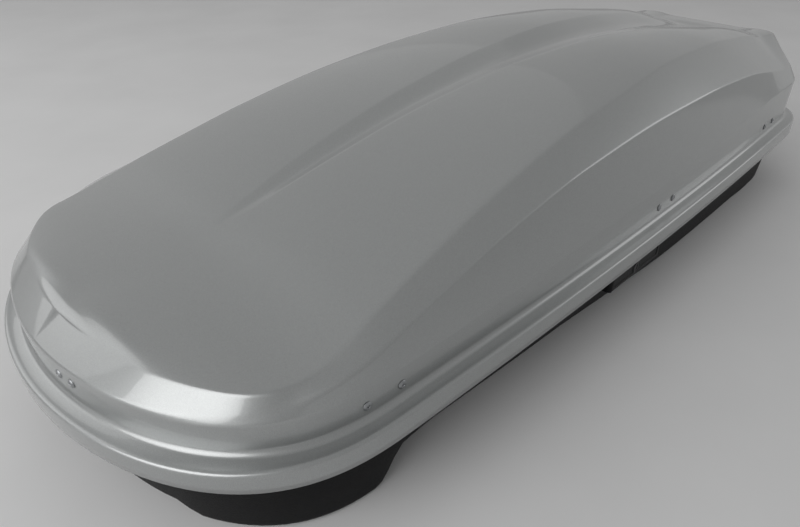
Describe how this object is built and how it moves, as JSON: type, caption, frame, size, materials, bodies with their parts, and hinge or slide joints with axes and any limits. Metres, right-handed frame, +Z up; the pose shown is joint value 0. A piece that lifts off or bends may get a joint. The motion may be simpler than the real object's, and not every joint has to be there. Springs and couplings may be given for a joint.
{
  "type": "roof box",
  "caption": "Long streamlined roof box with a silver lid that opens along one side, a black tray, a locking bar with bolts, and folding lid stays.",
  "frame": {"origin": "on the ground under the middle of the box's length and width", "axes": "+X towards the nose, +Y towards the side that opens and locks, +Z up"},
  "size_m": [1.9, 0.8029, 0.4212],
  "materials": {
    "lid_silver": "glossy metallic silver, clear coated",
    "tray_black": "semi-matt black",
    "seal_rubber": "matt",
    "steel": "zinc plated",
    "rivet_metal": "satin"
  },
  "bodies": {
    "tray": {"tray_shell": "tray_black", "rim_seal": "seal_rubber", "lock_housing": "tray_black", "floor_rail_front_left": "steel", "floor_rail_front_right": "steel", "floor_rail_rear_left": "steel", "floor_rail_rear_right": "steel", "hinge_tray_leaf_front": "steel", "hinge_tray_leaf_middle": "steel", "hinge_tray_leaf_rear": "steel", "hinge_pin_front": "steel", "hinge_pin_middle": "steel", "hinge_pin_rear": "steel", "bar_guide_front": "tray_black", "bar_guide_middle": "tray_black", "bar_guide_rear": "tray_black", "stay_tray_bracket_front": "steel", "stay_tray_bracket_rear": "steel", "stay_pin_tray_front": "steel", "stay_pin_tray_rear": "steel"},
    "lid": {"lid_shell": "lid_silver", "nose_guide": "tray_black", "nose_rivet_a": "rivet_metal", "nose_rivet_b": "rivet_metal", "hinge_lid_leaf_front": "steel", "hinge_lid_leaf_middle": "steel", "hinge_lid_leaf_rear": "steel", "striker_front": "tray_black", "striker_middle": "tray_black", "striker_rear": "tray_black", "hinge_rivet_front_a": "rivet_metal", "hinge_rivet_front_b": "rivet_metal", "hinge_rivet_middle_a": "rivet_metal", "hinge_rivet_middle_b": "rivet_metal", "hinge_rivet_rear_a": "rivet_metal", "hinge_rivet_rear_b": "rivet_metal", "striker_rivet_front_a": "rivet_metal", "striker_rivet_front_b": "rivet_metal", "striker_rivet_middle_a": "rivet_metal", "striker_rivet_middle_b": "rivet_metal", "striker_rivet_rear_a": "rivet_metal", "striker_rivet_rear_b": "rivet_metal", "stay_lid_bracket_front": "steel", "stay_lid_bracket_rear": "steel", "stay_pin_lid_front": "steel", "stay_pin_lid_rear": "steel"},
    "locking_bar": {"locking_bar": "steel", "bolt_front": "tray_black", "bolt_middle": "tray_black", "bolt_rear": "tray_black"},
    "lock": {"lock_barrel": "steel", "lock_crank": "steel"},
    "stay_lower_front": {"stay_lower_arm_front": "steel", "stay_pin_knee_front": "steel"},
    "stay_upper_front": {"stay_upper_arm_front": "steel"},
    "stay_lower_rear": {"stay_lower_arm_rear": "steel", "stay_pin_knee_rear": "steel"},
    "stay_upper_rear": {"stay_upper_arm_rear": "steel"}
  },
  "joints": [
    {"name": "lid_hinge", "type": "hinge", "parent": "tray", "child": "lid", "pos_m": [-0.07955, -0.3608, 0.129], "axis": [0.9993, -0.0372, 0], "range_deg": [0, 60]},
    {"name": "bar_slide", "type": "slide", "parent": "tray", "child": "locking_bar", "axis": [-0.9993, -0.0372, 0], "range_m": [0, 0.0198]},
    {"name": "lock_turn", "type": "hinge", "parent": "tray", "child": "lock", "pos_m": [0.02011, 0.37344, 0.104], "axis": [0.0372, -0.9993, 0], "range_deg": [0, 90]},
    {"name": "stay_lower_front_turn", "type": "hinge", "parent": "tray", "child": "stay_lower_front", "pos_m": [0.40526, -0.24931, 0.117], "axis": [0.9993, -0.0372, 0], "range_deg": [0, 60]},
    {"name": "stay_upper_front_turn", "type": "hinge", "parent": "lid", "child": "stay_upper_front", "pos_m": [0.40526, -0.24931, 0.141], "axis": [0.9993, -0.0372, 0], "range_deg": [-60, 0]},
    {"name": "stay_lower_rear_turn", "type": "hinge", "parent": "tray", "child": "stay_lower_rear", "pos_m": [-0.39474, -0.21953, 0.117], "axis": [0.9993, -0.0372, 0], "range_deg": [0, 60]},
    {"name": "stay_upper_rear_turn", "type": "hinge", "parent": "lid", "child": "stay_upper_rear", "pos_m": [-0.39474, -0.21953, 0.141], "axis": [0.9993, -0.0372, 0], "range_deg": [-60, 0]}
  ],
  "couplings": [
    {"joint": "lock_turn", "follows": "bar_slide", "rad_per_m": 79.33},
    {"joint": "stay_lower_front_turn", "follows": "lid_hinge", "ratio": 1},
    {"joint": "stay_upper_front_turn", "follows": "lid_hinge", "ratio": -1},
    {"joint": "stay_lower_rear_turn", "follows": "lid_hinge", "ratio": 1},
    {"joint": "stay_upper_rear_turn", "follows": "lid_hinge", "ratio": -1}
  ]
}
